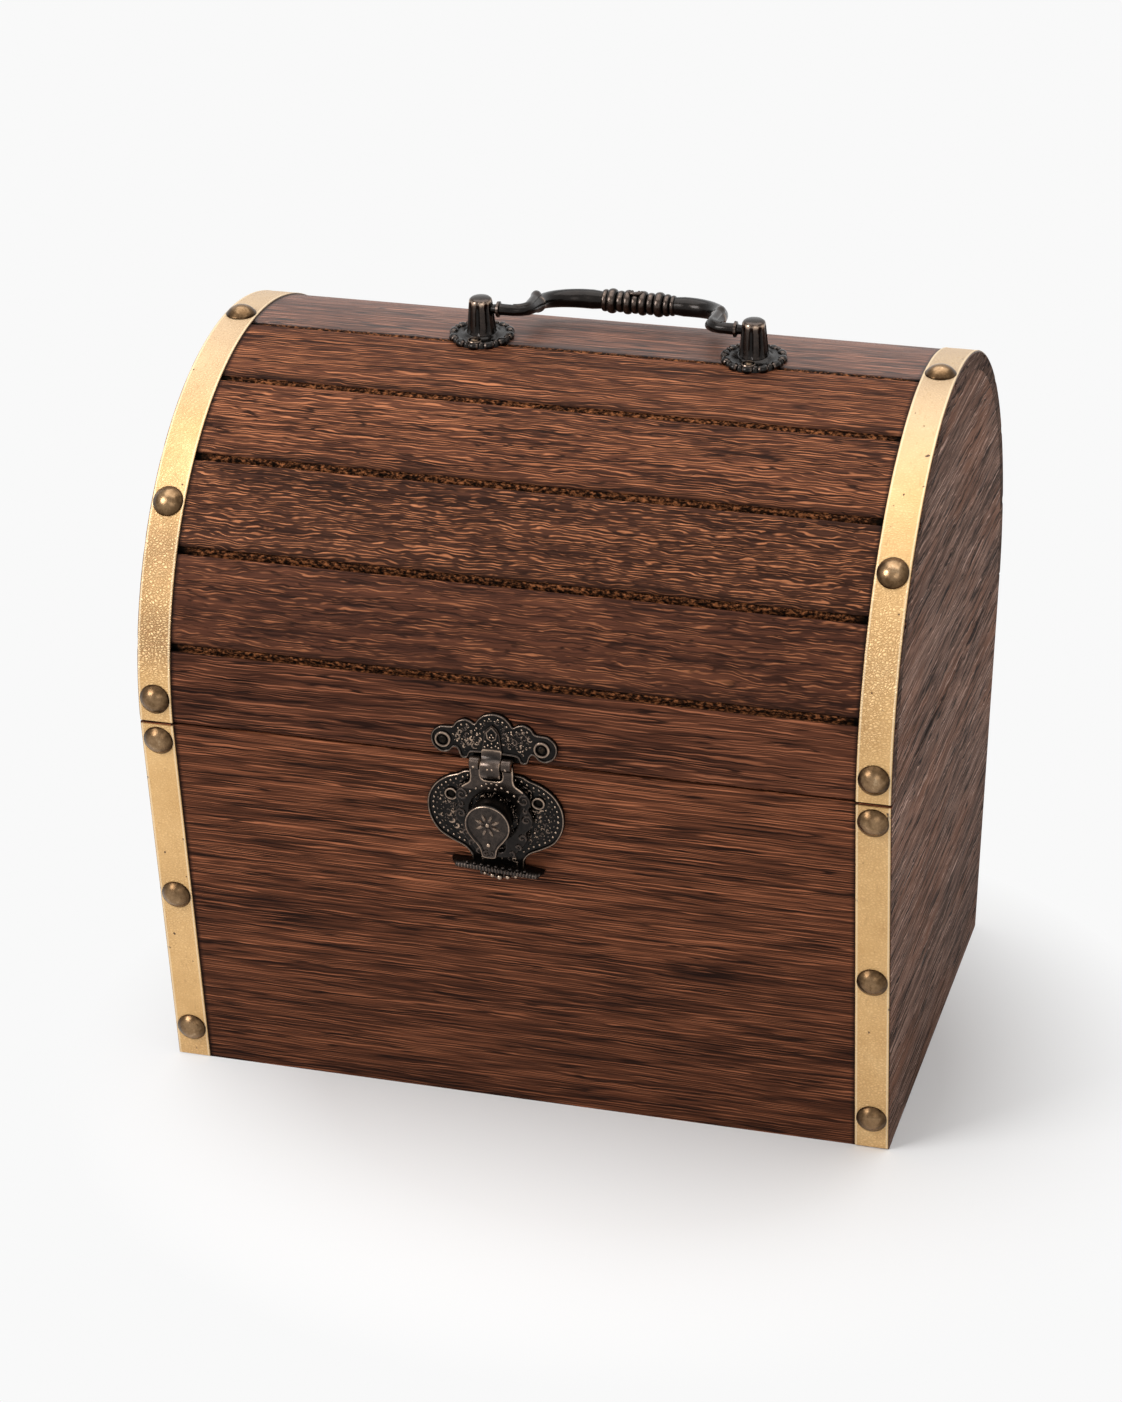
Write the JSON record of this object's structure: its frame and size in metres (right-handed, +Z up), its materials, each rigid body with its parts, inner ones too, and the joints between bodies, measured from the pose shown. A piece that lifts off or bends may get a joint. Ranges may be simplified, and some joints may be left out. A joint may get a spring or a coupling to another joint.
{
  "type": "wooden money box",
  "caption": "Dome-lidded wooden box with gold straps at both ends, round-headed tacks, a hasp latch with a turning knob on the front and a swing handle on its hinged lid.",
  "frame": {"origin": "on the floor under the middle of the base", "axes": "+X to the right of someone facing the front, the front faces -Y, +Z up; the box stands closed, hasp down and handle folded back"},
  "size_m": [0.26, 0.2293, 0.2686],
  "materials": {
    "stained_wood": "dark red-brown stain with streaky grain, satin",
    "end_wood": "greyer brown stain, satin",
    "gold_strap": "pale gold embossed leatherette",
    "tack_brass": "mottled antique brass",
    "antique_bronze": "near-black antique bronze, worn to copper on the high spots",
    "aged_brass": "aged brass"
  },
  "bodies": {
    "base": {"bottom_panel": "stained_wood", "front_wall": "stained_wood", "back_wall": "stained_wood", "left_end_wall": "end_wood", "right_end_wall": "end_wood", "front_left_strap": "gold_strap", "front_right_strap": "gold_strap", "back_left_strap": "gold_strap", "back_right_strap": "gold_strap", "front_left_tacks": "tack_brass", "front_right_tacks": "tack_brass", "back_left_tacks": "tack_brass", "back_right_tacks": "tack_brass", "latch_plate": "antique_bronze", "latch_plate_screws": "aged_brass", "left_hinge_base_leaf": "aged_brass", "right_hinge_base_leaf": "aged_brass", "left_hinge_pin": "aged_brass", "right_hinge_pin": "aged_brass", "hinge_base_screws": "aged_brass"},
    "knob": {"latch_knob": "antique_bronze"},
    "lid": {"lid_left_end": "end_wood", "lid_right_end": "end_wood", "lid_front_rail": "stained_wood", "lid_stave_1": "stained_wood", "lid_stave_2": "stained_wood", "lid_stave_3": "stained_wood", "lid_stave_4": "stained_wood", "lid_crown_board": "stained_wood", "lid_stave_5": "stained_wood", "lid_stave_6": "stained_wood", "lid_stave_7": "stained_wood", "lid_back_rail": "stained_wood", "lid_left_strap": "gold_strap", "lid_right_strap": "gold_strap", "lid_left_tacks": "tack_brass", "lid_right_tacks": "tack_brass", "latch_lid_plate": "antique_bronze", "latch_lid_plate_screws": "aged_brass", "latch_hinge_pin": "antique_bronze", "left_hinge_lid_leaf": "aged_brass", "right_hinge_lid_leaf": "aged_brass", "hinge_lid_screws": "aged_brass", "left_handle_post": "antique_bronze", "right_handle_post": "antique_bronze", "handle_screws": "aged_brass"},
    "hasp": {"latch_hasp": "antique_bronze"},
    "handle": {"handle_bail": "antique_bronze"}
  },
  "joints": [
    {"name": "lid_hinge", "type": "hinge", "parent": "base", "child": "lid", "pos_m": [0, 0.10753, 0.13866], "axis": [-1, 0, 0], "range_deg": [0, 105]},
    {"name": "hasp_hinge", "type": "hinge", "parent": "lid", "child": "hasp", "pos_m": [-0.0045, -0.10813, 0.13939], "axis": [-1, 0, 0], "range_deg": [0, 150]},
    {"name": "knob_turn", "type": "hinge", "parent": "base", "child": "knob", "pos_m": [-0.0045, -0.10256, 0.12057], "axis": [0, -0.991, -0.1341], "continuous": true},
    {"name": "handle_swing", "type": "hinge", "parent": "lid", "child": "handle", "pos_m": [0.012, -0.0101, 0.26416], "axis": [1, 0, 0], "range_deg": [0, 194]}
  ]
}
